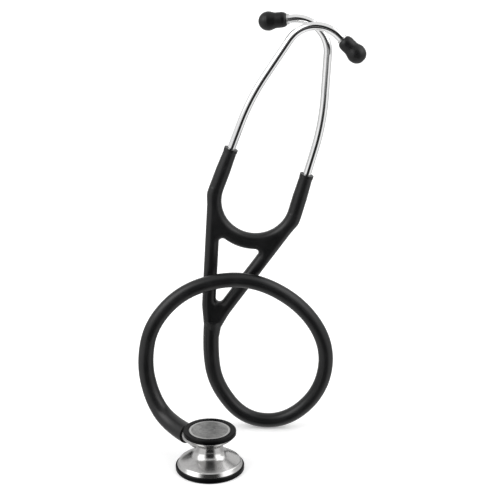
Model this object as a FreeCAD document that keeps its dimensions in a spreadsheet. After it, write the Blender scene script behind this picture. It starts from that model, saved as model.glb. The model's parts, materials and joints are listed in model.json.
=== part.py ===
import FreeCAD, Part
import Sketcher
import math
import os
import re

from FreeCAD import Placement, Rotation, Vector

# A cardiology stethoscope: a two-sided chestpiece that turns on its stem, a thick hose, and a
# headset whose two bent ear tubes stand in a moulded yoke and end in soft eartips.
#
# Millimetres and degrees. The origin is the centre of the large face, which rests on the floor;
# +Z runs up the chestpiece's axis. The yoke and the hose lie in planes that face -Y.

# ---------------------------------------------------------------- driving sizes

SIZES = {
    # play between pieces
    "fit": 0.05,                    # between pieces that are pressed or clipped together
    "running_fit": 0.05,            # radial play where one piece turns or slides on another

    # chestpiece, both faces
    "face_to_face": 27.0,
    "neck_radius": 8.4,
    "neck_round": 2.4,              # where the neck meets the small bowl
    "bowl_edge_round": 0.3,
    "rim_edge": 0.6,                # chamfer round the rims' outer edges
    "membrane_play": 0.3,           # round the diaphragms, inside the rims
    "bead_inset": 3.2,              # of the diaphragms' flexible bead, from their edges
    "bead_width": 1.2,
    "bead_depth": 0.15,
    "lip_thickness": 0.45,          # the rims' inward lips, which hold the diaphragms
    "sound_hole_radius": 1.5,

    # large side
    "large_rim_radius": 21.75,
    "large_rim_height": 3.1,
    "large_rim_wall": 0.75,
    "large_hook": 0.9,              # how far the rim hooks in over the flange
    "large_opening_radius": 18.9,
    "large_flange_thickness": 1.2,
    "large_bowl_edge": 0.5,         # height of the bowl's bright edge above the rim
    "large_bowl_radius": 20.7,
    "large_shoulder_inset": 1.3,    # the bowl's shoulder, from its edge
    "large_shoulder_rise": 2.3,
    "large_shoulder_round": 2.0,
    "large_neck_drop": 3.5,         # where the bowl meets the neck, below the stem's axis
    "large_neck_round": 7.0,
    "large_cup_land": 1.5,          # flat ring that the diaphragm can reach
    "large_cup_depth": 3.4,
    "large_membrane_thickness": 0.4,
    "large_membrane_travel": 0.4,

    # small side
    "small_rim_radius": 16.75,
    "small_rim_height": 2.8,
    "small_rim_wall": 0.75,
    "small_hook": 0.9,
    "small_opening_radius": 13.2,
    "small_flange_thickness": 0.9,
    "small_bowl_edge": 0.5,
    "small_bowl_radius": 15.8,
    "small_shoulder_inset": 0.9,
    "small_shoulder_drop": 1.3,
    "small_shoulder_round": 3.0,
    "small_neck_rise": 2.7,         # where the bowl meets the neck, above the stem's axis
    "small_cup_land": 1.3,
    "small_cup_depth": 1.9,
    "small_membrane_thickness": 0.3,
    "small_membrane_travel": 0.35,
    "cover_disc_radius": 12.85,
    "cover_disc_thickness": 0.3,

    # stem: runs from the neck out to the hose
    "stem_height": 15.3,            # of its axis above the floor
    "stem_heading": 129.8,          # of its axis about +Z, from +X
    "stem_journal_radius": 3.2,
    "stem_journal_end": 6.4,        # past the neck's axis
    "stem_boss_radius": 5.6,
    "stem_boss_reach": 13.2,
    "stem_collar_gap": 0.1,         # between the boss and the collar
    "stem_collar_radius": 5.5,
    "stem_collar_length": 2.0,
    "stem_radius": 5.2,
    "stem_reach": 25.8,             # where the hose begins
    "stem_bore_radius": 1.6,
    "stem_end_gap": 0.3,            # past the journal's blind end
    "stem_chamfer": 0.25,
    "barb_length": 8.6,
    "barb_radius": 2.9,
    "barb_waist_radius": 2.45,
    "seal_section_radius": 0.5,
    "seal_place": 9.2,              # of the seal along the stem's axis
    "detent_place": 4.0,            # of the ball along the stem's axis, past the neck's axis
    "detent_ball_radius": 1.1,
    "detent_groove_depth": 0.6,
    "detent_spring_length": 1.1,
    "detent_spring_turns": 3.0,
    "detent_wire": 0.25,            # side of the spring's square wire
    "detent_screw_length": 1.3,
    "detent_slot_width": 0.4,
    "detent_slot_depth": 0.4,

    # hose
    "hose_radius": 4.85,
    "hose_bore_radius": 2.6,
    "hose_end_radius": 6.3,         # where it is stretched over the stem's barbs
    "hose_end_taper": 9.0,
    "arc_share": 0.45,              # of the shorter run, taken up by each arc

    # headset
    "lean": 19.5,                   # of the headset's axis, towards +X
    "headset_x": 29.0,              # centre of the yoke's upper arch
    "headset_y": 62.0,
    "headset_z": 158.2,
    "arm_spacing": 53.0,            # between the arms' axes
    "arch_inner_radius": 21.8,
    "arch_outer_radius": 32.2,
    "yoke_depth": 9.6,
    "yoke_edge_radius": 4.4,
    "shoulder_half_width": 31.2,
    "shoulder_drop": 5.4,           # of the outer shoulder corner below the arch's centre
    "shoulder_round": 9.0,
    "shoulder_overlap": 1.0,        # of the flexible shoulders, down into the yoke
    "leg_top_half_width": 28.6,     # half the width over the legs, below the shoulders
    "leg_top_drop": 12.5,
    "leg_foot_half_width": 9.3,     # half the width over the legs, where they have joined
    "leg_foot_drop": 79.0,
    "leg_round": 35.0,
    "gap_half_width": 13.9,         # the triangle between the legs, at its top
    "gap_top_drop": 31.5,
    "gap_foot_drop": 79.0,
    "gap_corner_radius": 2.4,
    "tail_x": 0.1,                  # end of the yoke, where the hose begins
    "tail_z": 69.0,

    # arms, from the shoulders up to the ear tubes
    "arm_radius": 4.7,
    "arm_start": 12.0,              # above the spread axis; the flexible shoulder is below
    "arm_end": 27.6,
    "arm_top_radius": 4.25,          # under the cuff
    "cuff_radius": 4.45,
    "cuff_length": 2.6,
    "arm_edge_radius": 0.35,

    # leaf spring inside the arch
    "leaf_thickness": 0.9,
    "leaf_width": 5.0,
    "leaf_offset": 3.0,             # of the leaf outside the arch's inner face
    "leaf_rise": 10.0,              # above the arch's centre

    # ear tubes
    "ear_tube_radius": 2.6,
    "ear_tube_bore_radius": 1.9,
    "ear_tube_foot": 14.5,          # above the spread axis
    "ear_straight": 30.5,
    "ear_knee_radius": 150.0,
    "ear_knee_turn": 13.0,
    "ear_shin": 27.0,
    "ear_crook_radius": 20.0,
    "ear_crook_turn": 100.0,
    "ear_end_straight": 2.5,
    "left_inward_lean": 0.8,
    "right_inward_lean": 3.5,
    "ear_tube_twist": 12.0,         # turns the left tip forward and the right tip back

    # eartips and the adapters that they slide on
    "adapter_radius": 2.3,
    "adapter_bore_radius": 1.1,
    "adapter_flange_radius": 3.3,
    "adapter_flange": 1.0,
    "adapter_reach": 9.0,
    "adapter_tail": 5.0,
    "adapter_end_gap": 0.3,         # between the adapter's end and the bottom of the tip's bore
    "eartip_gap": 0.1,              # between the tip and the adapter's flange
    "eartip_length": 18.0,
    "eartip_collar_radius": 4.85,
    "eartip_collar_round": 2.3,
    "eartip_waist_round": 3.0,
    "eartip_bulb_radius": 5.9,
    "eartip_sound_radius": 1.3,
}

# The hose's route, from the yoke's tail down to the floor, up and over in front of the yoke's
# legs, and down to the stem. Its first and last points are the yoke's and the stem's ends.
HOSE_ROUTE = [
    (-1.0, 62.0, 54.0),
    (3.0, 61.5, 29.0),
    (22.0, 60.0, 5.6),
    (50.0, 58.5, 5.0),
    (73.0, 56.0, 28.0),
    (77.0, 53.5, 62.0),
    (58.0, 51.0, 93.0),
    (24.0, 48.0, 112.0),
    (-14.0, 46.0, 106.0),
    (-38.2, 44.5, 82.0),
    (-43.8, 43.5, 53.5),
    (-38.5, 42.0, 28.5),
    (-28.4, 34.1, 15.3),
]

SAME = 1e-4                         # places closer than this are one place
VOLUME_SLACK = 0.01                 # share by which a swept tube may miss its worked-out volume

doc = FreeCAD.newDocument("stethoscope")
sheet = doc.addObject("Spreadsheet::Sheet", "Sizes")
for row, (name, value) in enumerate(SIZES.items(), start=1):
    sheet.set(f"A{row}", name.replace("_", " "))
    sheet.set(f"B{row}", str(value))
    sheet.setAlias(f"B{row}", name)
doc.recompute()

sub_parts = []


# ---------------------------------------------------------------- tools for the sheet

def bound(formula):
    """A formula in the sheet's words, as an expression that other objects can use."""
    def in_sheet(match):
        word = match.group()
        return f"Sizes.{word}" if word in SIZES else word
    return re.sub(r"[a-z_]+", in_sheet, formula)


def size(formula):
    """The present value of a formula in the sheet's words."""
    return float(sheet.evalExpression(formula))


# ---------------------------------------------------------------- tools for the bodies

def new_body(label):
    body = doc.addObject("PartDesign::Body", label)
    body.Label = label
    sub_parts.append(body)
    return body


def origin_plane(body, role):
    return next(f for f in body.Origin.OriginFeatures if f.Role == role)


def flat_sketch(body, name, role="XZ_Plane"):
    sketch = body.newObject("Sketcher::SketchObject", name)
    sketch.AttachmentSupport = [(origin_plane(body, role), "")]
    sketch.MapMode = "FlatFace"
    return sketch


def outline(body, name, corners, role="XZ_Plane"):
    """A closed outline of straight sides, each corner's place bound to the sheet."""
    sketch = flat_sketch(body, name, role)
    places = [Vector(size(across), size(up), 0) for across, up in corners]
    for here, there in zip(places, places[1:] + places[:1]):
        sketch.addGeometry(Part.LineSegment(here, there), False)
    count = len(places)
    for side in range(count):
        following = (side + 1) % count
        sketch.addConstraint(Sketcher.Constraint("Coincident", side, 2, following, 1))
    for side, (across, up) in enumerate(corners):
        for kind, formula in (("DistanceX", across), ("DistanceY", up)):
            value = size(formula)
            if formula == "0":
                axis = -2 if kind == "DistanceX" else -1
                sketch.addConstraint(Sketcher.Constraint("PointOnObject", side, 1, axis))
                continue
            index = sketch.addConstraint(Sketcher.Constraint(kind, -1, 1, side, 1, value))
            sketch.setExpression(f"Constraints[{index}]", bound(formula))
    return sketch


def circles(body, name, radii, role="XY_Plane", height="0", across="0", up="0"):
    """Circles round one centre, on a plane at a height bound to the sheet."""
    sketch = flat_sketch(body, name, role)
    sketch.setExpression("AttachmentOffset.Base.z", bound(height))
    for side, radius in enumerate(radii):
        centre = Vector(size(across), size(up), 0)
        sketch.addGeometry(Part.Circle(centre, Vector(0, 0, 1), size(radius)), False)
        index = sketch.addConstraint(Sketcher.Constraint("Radius", side, size(radius)))
        sketch.setExpression(f"Constraints[{index}]", bound(radius))
        for kind, formula, axis in (("DistanceX", across, -2), ("DistanceY", up, -1)):
            if formula == "0":
                sketch.addConstraint(Sketcher.Constraint("PointOnObject", side, 3, axis))
                continue
            index = sketch.addConstraint(
                Sketcher.Constraint(kind, -1, 1, side, 3, size(formula)))
            sketch.setExpression(f"Constraints[{index}]", bound(formula))
    return sketch


def revolved(body, name, corners, cut=False):
    """A profile in the XZ plane, turned about the body's Z axis."""
    sketch = outline(body, name + "_profile", corners)
    kind = "PartDesign::Groove" if cut else "PartDesign::Revolution"
    feature = body.newObject(kind, name)
    feature.Profile = sketch
    feature.ReferenceAxis = (sketch, ["V_Axis"])
    feature.Angle = 360
    doc.recompute()
    return feature


def raised(body, name, sketch, length, cut=False, backward=False, both_ways=False):
    """A pad, or a pocket, as long as a formula says."""
    feature = body.newObject("PartDesign::Pocket" if cut else "PartDesign::Pad", name)
    feature.Profile = sketch
    feature.setExpression("Length", bound(length))
    feature.Midplane = both_ways
    feature.Reversed = backward
    doc.recompute()
    return feature


def circular_edges(feature, radius, height):
    """Names of the full circles with this radius at this height on the Z axis."""
    names = []
    for index, edge in enumerate(feature.Shape.Edges, start=1):
        if edge.Degenerated or not isinstance(edge.Curve, Part.Circle):
            continue
        same_radius = abs(edge.Curve.Radius - radius) < SAME
        if same_radius and abs(edge.Curve.Center.z - height) < SAME:
            names.append(f"Edge{index}")
    return names


def rounded(body, name, base, rings, radius):
    """Fillets the rings (radius, height) of a turned piece."""
    edges = []
    for ring_radius, ring_height in rings:
        edges += circular_edges(base, size(ring_radius), size(ring_height))
    feature = body.newObject("PartDesign::Fillet", name)
    feature.Base = (base, edges)
    feature.setExpression("Radius", bound(radius))
    doc.recompute()
    return feature


def solid_feature(label, shape, placement=None):
    """A sub-part whose shape is worked out with Part's own functions."""
    feature = doc.addObject("Part::Feature", label)
    feature.Label = label
    feature.Shape = shape
    if placement is not None:
        feature.Placement = placement
    sub_parts.append(feature)
    return feature


# ---------------------------------------------------------------- places

STEM_HEADING = Rotation(Vector(0, 0, 1), size("stem_heading"))
HEAD_PLACE = Placement(Vector(0, 0, 0), STEM_HEADING)
STEM_PLACE = Placement(Vector(0, 0, size("stem_height")),
                       STEM_HEADING * Rotation(Vector(0, 1, 0), 90))
HEADSET_PLACE = Placement(
    Vector(size("headset_x"), size("headset_y"), size("headset_z")),
    Rotation(Vector(0, 1, 0), size("lean")))


def stem_point(along, up=0.0):
    """A point on the stem's axis, measured from the neck's axis."""
    return STEM_PLACE.multVec(Vector(-up, 0, along))


def ear_place(side):
    """Frame of one arm: origin on its spread axis, Z up the arm, and X away from the other arm."""
    half_spacing = size("arm_spacing") / 2
    lean = size("right_inward_lean") if side == "right" else size("left_inward_lean")
    outward = 1 if side == "right" else -1
    tilt = Rotation(Vector(0, 1, 0), -outward * lean)
    turn = Rotation(Vector(0, 0, 1), 0 if side == "right" else 180)
    return HEADSET_PLACE * Placement(Vector(outward * half_spacing, 0, 0), tilt * turn)


def ear_tube_path():
    """Corner points of an ear tube's axis: straight, knee, shin, crook and straight end."""
    knee = math.radians(size("ear_knee_turn"))
    both = knee + math.radians(size("ear_crook_turn"))
    knee_radius, crook_radius = size("ear_knee_radius"), size("ear_crook_radius")
    foot = Vector(0, 0, size("ear_tube_foot"))
    knee_start = foot + Vector(0, 0, size("ear_straight"))
    knee_centre = knee_start - Vector(knee_radius, 0, 0)
    knee_end = knee_centre + Vector(math.cos(knee), 0, math.sin(knee)) * knee_radius
    shin_way = Vector(-math.sin(knee), 0, math.cos(knee))
    crook_start = knee_end + shin_way * size("ear_shin")
    inward = Vector(-math.cos(knee), 0, -math.sin(knee))
    crook_centre = crook_start + inward * crook_radius
    crook_end = crook_centre + Vector(math.cos(both), 0, math.sin(both)) * crook_radius
    end_way = Vector(-math.sin(both), 0, math.cos(both))
    end = crook_end + end_way * size("ear_end_straight")
    return {
        "foot": foot, "knee_start": knee_start, "knee_centre": knee_centre,
        "knee_end": knee_end, "crook_start": crook_start, "crook_centre": crook_centre,
        "crook_end": crook_end, "end": end, "knee": knee, "both": both,
    }


def ear_tube_place(side):
    """Frame of an ear tube, turned about its arm so that the two tubes pass each other."""
    return ear_place(side) * Placement(Vector(0, 0, 0),
                                       Rotation(Vector(0, 0, 1), -size("ear_tube_twist")))


def tip_place(side):
    """Frame at the end of an ear tube, with Z pointing into the ear."""
    path = ear_tube_path()
    turn = Rotation(Vector(0, 1, 0), -math.degrees(path["both"]))
    return ear_tube_place(side) * Placement(path["end"], turn)


# ---------------------------------------------------------------- chestpiece

# Each rim is at least wide enough to hold the bowl that it closes.
LARGE_FLANGE_LOW = "lip_thickness + 2 * fit + large_membrane_thickness + large_membrane_travel"
LARGE_FLANGE_HIGH = LARGE_FLANGE_LOW + " + large_flange_thickness"
LARGE_RIM_RADIUS = "max(large_rim_radius; large_bowl_radius + large_rim_wall)"
LARGE_WALL_RADIUS = LARGE_RIM_RADIUS + " - large_rim_wall"
LARGE_HOOK_RADIUS = LARGE_WALL_RADIUS + " - large_hook"
LARGE_EDGE_LOW = "large_rim_height + fit"
LARGE_EDGE_HIGH = LARGE_EDGE_LOW + " + large_bowl_edge"
LARGE_SHOULDER = ("large_bowl_radius - large_shoulder_inset",
                  LARGE_EDGE_HIGH + " + large_shoulder_rise")

SMALL_FLANGE_HIGH = ("face_to_face - lip_thickness - 2 * fit - small_membrane_thickness"
                     " - small_membrane_travel")
SMALL_FLANGE_LOW = SMALL_FLANGE_HIGH + " - small_flange_thickness"
SMALL_RIM_RADIUS = "max(small_rim_radius; small_bowl_radius + small_rim_wall)"
SMALL_WALL_RADIUS = SMALL_RIM_RADIUS + " - small_rim_wall"
SMALL_HOOK_RADIUS = SMALL_WALL_RADIUS + " - small_hook"
SMALL_EDGE_HIGH = "face_to_face - small_rim_height - fit"
SMALL_EDGE_LOW = SMALL_EDGE_HIGH + " - small_bowl_edge"
SMALL_SHOULDER = ("small_bowl_radius - small_shoulder_inset",
                  SMALL_EDGE_LOW + " - small_shoulder_drop")

LOW_NECK = ("neck_radius", "stem_height - large_neck_drop")
HIGH_NECK = ("neck_radius", "stem_height + small_neck_rise")


def chestpiece_body():
    """The turned hourglass: a deep bowl below, a small one above, and the stem's bore across."""
    body = new_body("chestpiece_body")
    turned = revolved(body, "turned", [
        ("0", LARGE_FLANGE_LOW + " + large_cup_depth"),
        (LARGE_WALL_RADIUS + " - fit - large_cup_land", LARGE_FLANGE_LOW),
        (LARGE_WALL_RADIUS + " - fit", LARGE_FLANGE_LOW),
        (LARGE_WALL_RADIUS + " - fit", LARGE_FLANGE_HIGH),
        (LARGE_HOOK_RADIUS + " - fit", LARGE_FLANGE_HIGH),
        (LARGE_HOOK_RADIUS + " - fit", LARGE_EDGE_LOW),
        ("large_bowl_radius", LARGE_EDGE_LOW),
        ("large_bowl_radius", LARGE_EDGE_HIGH),
        LARGE_SHOULDER,
        LOW_NECK,
        HIGH_NECK,
        SMALL_SHOULDER,
        ("small_bowl_radius", SMALL_EDGE_LOW),
        ("small_bowl_radius", SMALL_EDGE_HIGH),
        (SMALL_HOOK_RADIUS + " - fit", SMALL_EDGE_HIGH),
        (SMALL_HOOK_RADIUS + " - fit", SMALL_FLANGE_LOW),
        (SMALL_WALL_RADIUS + " - fit", SMALL_FLANGE_LOW),
        (SMALL_WALL_RADIUS + " - fit", SMALL_FLANGE_HIGH),
        (SMALL_WALL_RADIUS + " - fit - small_cup_land", SMALL_FLANGE_HIGH),
        ("0", SMALL_FLANGE_HIGH + " - small_cup_depth"),
    ])
    flare = rounded(body, "neck_flare", turned, [LOW_NECK], "large_neck_round")
    neck = rounded(body, "neck_round", flare, [HIGH_NECK], "neck_round")
    large = rounded(body, "large_shoulder", neck, [LARGE_SHOULDER], "large_shoulder_round")
    small = rounded(body, "small_shoulder", large, [SMALL_SHOULDER], "small_shoulder_round")
    rounded(body, "bowl_edges", small,
            [("large_bowl_radius", LARGE_EDGE_HIGH), ("small_bowl_radius", SMALL_EDGE_LOW)],
            "bowl_edge_round")
    boss = circles(body, "boss_circle", ["stem_boss_radius"], "YZ_Plane", up="stem_height")
    raised(body, "boss", boss, "stem_boss_reach")
    bore = circles(body, "bore_circle", ["stem_journal_radius + running_fit"], "YZ_Plane",
                   height="-stem_journal_end - stem_end_gap", up="stem_height")
    raised(body, "bore", bore, "stem_journal_end + stem_end_gap + stem_boss_reach + fit",
           cut=True, backward=True)
    channel = circles(body, "channel_circle", ["sound_hole_radius"])
    raised(body, "sound_channel", channel, "face_to_face", cut=True, backward=True)
    detent = circles(body, "detent_circle", ["detent_ball_radius + running_fit"], "XZ_Plane",
                     across="-detent_place", up="stem_height")
    raised(body, "detent_hole", detent, "neck_radius", cut=True, backward=True)
    body.Placement = HEAD_PLACE
    return body


def rim(label, wall_radius, hook_radius, side, flange_far):
    """A snap-on rim: an inward lip over the diaphragm, a wall, and a hook behind the flange."""
    body = new_body(label)

    def height(formula):
        return formula if side == "large" else f"face_to_face - ({formula})"

    radius = LARGE_RIM_RADIUS if side == "large" else SMALL_RIM_RADIUS
    far = f"{side}_rim_height"
    revolved(body, "section", [
        (f"{side}_opening_radius", height("0")),
        (f"{radius} - rim_edge", height("0")),
        (radius, height("rim_edge")),
        (radius, height(f"{far} - rim_edge / 2")),
        (f"{radius} - rim_edge / 2", height(far)),
        (hook_radius, height(far)),
        (hook_radius, flange_far),
        (wall_radius, flange_far),
        (wall_radius, height("lip_thickness")),
        (f"{side}_opening_radius", height("lip_thickness")),
    ])
    body.Placement = HEAD_PLACE
    return body


def membrane(label, side):
    """A stiff diaphragm with a flexible bead near its edge."""
    body = new_body(label)
    wall = LARGE_WALL_RADIUS if side == "large" else SMALL_WALL_RADIUS
    edge = f"{wall} - membrane_play"

    def height(formula):
        return formula if side == "large" else f"face_to_face - ({formula})"

    face = "lip_thickness + fit"
    revolved(body, "disc", [
        ("0", height(face)),
        (f"{edge} - bead_inset", height(face)),
        (f"{edge} - bead_inset + bead_depth", height(face + " + bead_depth")),
        (f"{edge} - bead_inset + bead_width - bead_depth", height(face + " + bead_depth")),
        (f"{edge} - bead_inset + bead_width", height(face)),
        (edge, height(face)),
        (edge, height(face + f" + {side}_membrane_thickness")),
        ("0", height(face + f" + {side}_membrane_thickness")),
    ])
    body.Placement = HEAD_PLACE
    return body


def cover_disc():
    """The bare metal disc bonded on the small diaphragm."""
    body = new_body("small_cover_disc")
    face = circles(body, "disc_circle", ["cover_disc_radius"],
                   height="face_to_face - lip_thickness - fit")
    raised(body, "disc", face, "cover_disc_thickness")
    body.Placement = HEAD_PLACE
    return body


def stem():
    """The hollow stem: blind journal with a side port, collar, shank and hose barbs."""
    body = new_body("stem")
    groove_radius = "stem_journal_radius - detent_groove_depth"
    groove_half = "detent_ball_radius + running_fit"
    seal_groove = "stem_journal_radius - 2 * seal_section_radius"
    seal_half = "seal_section_radius + running_fit"
    collar_start = "stem_boss_reach + stem_collar_gap"
    barb = "barb_length / 3"
    revolved(body, "turned", [
        ("0", "-stem_journal_end"),
        ("stem_journal_radius - stem_chamfer", "-stem_journal_end"),
        ("stem_journal_radius", "-stem_journal_end + stem_chamfer"),
        ("stem_journal_radius", f"-detent_place - ({groove_half})"),
        (groove_radius, f"-detent_place - ({groove_half})"),
        (groove_radius, f"-detent_place + ({groove_half})"),
        ("stem_journal_radius", f"-detent_place + ({groove_half})"),
        ("stem_journal_radius", f"seal_place - ({seal_half})"),
        (seal_groove, f"seal_place - ({seal_half})"),
        (seal_groove, f"seal_place + ({seal_half})"),
        ("stem_journal_radius", f"seal_place + ({seal_half})"),
        ("stem_journal_radius", collar_start),
        ("stem_collar_radius - stem_chamfer", collar_start),
        ("stem_collar_radius", f"{collar_start} + stem_chamfer"),
        ("stem_collar_radius", f"{collar_start} + stem_collar_length - stem_chamfer"),
        ("stem_collar_radius - stem_chamfer", f"{collar_start} + stem_collar_length"),
        ("stem_radius", f"{collar_start} + stem_collar_length"),
        ("stem_radius", "stem_reach"),
        ("barb_waist_radius", "stem_reach"),
        ("barb_waist_radius", f"stem_reach + {barb}"),
        ("barb_radius", f"stem_reach + {barb}"),
        ("barb_waist_radius", f"stem_reach + 2 * {barb}"),
        ("barb_radius", f"stem_reach + 2 * {barb}"),
        ("barb_waist_radius", "stem_reach + barb_length"),
        ("stem_bore_radius", "stem_reach + barb_length"),
        ("stem_bore_radius", "-sound_hole_radius"),
        ("0", "-sound_hole_radius"),
    ])
    port = circles(body, "port_circle", ["sound_hole_radius"], "YZ_Plane")
    raised(body, "port", port, "stem_collar_radius", cut=True, backward=True)
    body.Placement = STEM_PLACE
    return body


def stem_seal():
    """The rubber ring that seals the journal in its bore."""
    ring = doc.addObject("Part::Torus", "stem_seal")
    ring.Label = "stem_seal"
    ring.setExpression("Radius1", bound("stem_journal_radius - seal_section_radius"))
    ring.setExpression("Radius2", bound("seal_section_radius"))
    ring.Placement = STEM_PLACE * Placement(Vector(0, 0, size("seal_place")), Rotation())
    sub_parts.append(ring)
    return ring


def detent_place(outward):
    """Frame on the detent hole's axis, with Z pointing away from the stem."""
    here = Vector(-size("detent_place"), -outward, size("stem_height"))
    return HEAD_PLACE * Placement(here, Rotation(Vector(1, 0, 0), 90))


def detent():
    """Ball, coil spring and slotted screw that hold the stem and give the head its click."""
    ball_radius = size("detent_ball_radius")
    groove = size("stem_journal_radius - detent_groove_depth + running_fit")
    ball = doc.addObject("Part::Sphere", "detent_ball")
    ball.Label = "detent_ball"
    ball.setExpression("Radius", bound("detent_ball_radius"))
    ball.Placement = detent_place(groove + ball_radius)
    sub_parts.append(ball)

    wire = size("detent_wire")
    length = size("detent_spring_length")
    inner, outer = ball_radius - wire, ball_radius
    rise = length - wire
    helix = Part.makeHelix(rise / size("detent_spring_turns"), rise, inner)
    section = Part.makePolygon([
        Vector(inner, 0, -wire / 2), Vector(outer, 0, -wire / 2),
        Vector(outer, 0, wire / 2), Vector(inner, 0, wire / 2), Vector(inner, 0, -wire / 2),
    ])
    coil = Part.Wire(helix).makePipeShell([section], True, True)
    spring_start = groove + ball_radius + math.sqrt(ball_radius ** 2 - inner ** 2) + wire / 2
    solid_feature("detent_spring", coil, detent_place(spring_start))

    body = new_body("detent_screw")
    disc = circles(body, "screw_circle", ["detent_ball_radius"])
    raised(body, "screw", disc, "detent_screw_length")
    slot = outline(body, "slot_outline", [
        ("-detent_ball_radius", "detent_screw_length - detent_slot_depth"),
        ("detent_ball_radius", "detent_screw_length - detent_slot_depth"),
        ("detent_ball_radius", "detent_screw_length"),
        ("-detent_ball_radius", "detent_screw_length"),
    ])
    raised(body, "slot", slot, "detent_slot_width", cut=True, both_ways=True)
    body.Placement = detent_place(spring_start + rise + wire / 2)


# ---------------------------------------------------------------- yoke

LARGEST_ROUND = 0.498               # of a wall's thickness: just under a full half round


def chosen_edges(shape, keep):
    return [edge for edge in shape.Edges if keep(edge)]


def runs_along_y(edge):
    way = edge.tangentAt(edge.FirstParameter)
    return abs(way.x) < SAME and abs(way.z) < SAME


def rounded_wire(corners):
    """A closed wire through (point, radius) corners, each rounded by a tangent arc."""
    edges = []
    starts, ends = [], []
    count = len(corners)
    for place in range(count):
        here, radius = corners[place]
        before = (corners[place - 1][0] - here).normalize()
        after = (corners[(place + 1) % count][0] - here).normalize()
        if radius == 0:
            starts.append(here)
            ends.append(here)
            edges.append(None)
            continue
        half = before.getAngle(after) / 2
        reach = radius / math.tan(half)
        middle_way = (before + after).normalize()
        start, end = here + before * reach, here + after * reach
        middle = here + middle_way * (radius / math.sin(half) - radius)
        starts.append(start)
        ends.append(end)
        edges.append(Part.Arc(start, middle, end).toShape())
    pieces = []
    for place in range(count):
        if edges[place] is not None:
            pieces.append(edges[place])
        following = (place + 1) % count
        pieces.append(Part.LineSegment(ends[place], starts[following]).toShape())
    return Part.Wire(pieces)


def prism(wire, depth):
    """A wire in the XZ plane, made solid to the same depth on both sides of it."""
    face = Part.Face(wire)
    face.translate(Vector(0, -depth / 2, 0))
    return face.extrude(Vector(0, depth, 0))


def yoke_tail():
    """The tail's two corners in the headset's frame, square to the hose's upright start."""
    end = Vector(size("tail_x"), size("headset_y"), size("tail_z"))
    to_local = HEADSET_PLACE.inverse()
    side = Vector(size("hose_radius"), 0, 0)
    return to_local.multVec(end - side), to_local.multVec(end + side)


def leaf_spring_shape(grown):
    """The leaf: half a ring round the arch and two straight ends, grown on every side."""
    inner = size("arch_inner_radius + leaf_offset") - grown
    outer = size("arch_inner_radius + leaf_offset + leaf_thickness") + grown
    width = size("leaf_width") + 2 * grown
    rise = size("leaf_rise") + grown
    ring_way = Vector(0, 1, 0)
    start = Vector(0, -width / 2, 0)
    ring = Part.makeCylinder(outer, width, start, ring_way)
    ring = ring.cut(Part.makeCylinder(inner, width, start, ring_way))
    below = Part.makeBox(2 * outer, width, outer, Vector(-outer, -width / 2, -outer))
    leaf = ring.common(below)
    for across in (-outer, inner):
        end = Part.makeBox(outer - inner, width, rise, Vector(across, -width / 2, 0))
        leaf = leaf.fuse(end)
    return leaf.removeSplitter()


def yoke():
    """The moulded yoke: arch, two legs with a triangle between them, and a tail to the hose."""
    depth = size("yoke_depth")
    shoulder_round, leg_round = size("shoulder_round"), size("leg_round")
    shoulder = Vector(size("shoulder_half_width"), 0, 0)
    corner = Vector(size("shoulder_half_width"), 0, -size("shoulder_drop"))
    leg_top = Vector(size("leg_top_half_width"), 0, -size("leg_top_drop"))
    leg_foot = Vector(size("leg_foot_half_width"), 0, -size("leg_foot_drop"))
    tail_left, tail_right = yoke_tail()

    def mirrored(point):
        return Vector(-point.x, point.y, point.z)

    outside = rounded_wire([
        (shoulder, 0), (corner, shoulder_round), (leg_top, shoulder_round),
        (leg_foot, leg_round), (tail_right, 0), (tail_left, 0),
        (mirrored(leg_foot), leg_round), (mirrored(leg_top), shoulder_round),
        (mirrored(corner), shoulder_round), (mirrored(shoulder), 0),
    ])
    plate = prism(outside, depth)

    across = Vector(0, 1, 0)
    arch = Part.makeCylinder(size("arch_inner_radius"), depth, Vector(0, -depth / 2, 0), across)
    plate = plate.cut(arch)

    gap_top = Vector(size("gap_half_width"), 0, -size("gap_top_drop"))
    gap_foot = Vector(0, 0, -size("gap_foot_drop"))
    above = gap_top + (gap_top - gap_foot) / 2
    triangle = Part.makePolygon([gap_foot, above, mirrored(above), gap_foot])
    gap = prism(triangle, depth)
    gap = gap.cut(Part.makeCylinder(size("arch_outer_radius"), depth,
                                    Vector(0, -depth / 2, 0), across))
    uprights = chosen_edges(gap, runs_along_y)
    gap = gap.makeFillet(size("gap_corner_radius"), uprights)
    plate = plate.cut(gap)

    tail_way = (tail_right - tail_left).normalize()

    def on_a_face(edge):
        """Whether an edge runs along one of the yoke's two faces, and not across its ends."""
        middle = edge.valueAt((edge.FirstParameter + edge.LastParameter) / 2)
        if abs(abs(middle.y) - depth / 2) > SAME or abs(middle.z) < SAME:
            return False
        return (middle - tail_left).cross(tail_way).Length > SAME

    leg_way = leg_foot - leg_top
    leg_widths = [(corner_of_gap - leg_top).cross(leg_way).Length / leg_way.Length
                  for corner_of_gap in (gap_top, gap_foot)]
    narrowest = min(leg_widths + [depth, size("arch_outer_radius - arch_inner_radius")])
    edge_radius = min(size("yoke_edge_radius"), LARGEST_ROUND * narrowest)
    plate = plate.makeFillet(edge_radius, chosen_edges(plate, on_a_face))
    plate = plate.cut(leaf_spring_shape(size("fit")))
    return solid_feature("yoke", plate, HEADSET_PLACE)


def leaf_spring():
    return solid_feature("leaf_spring", leaf_spring_shape(0.0), HEADSET_PLACE)


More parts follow.
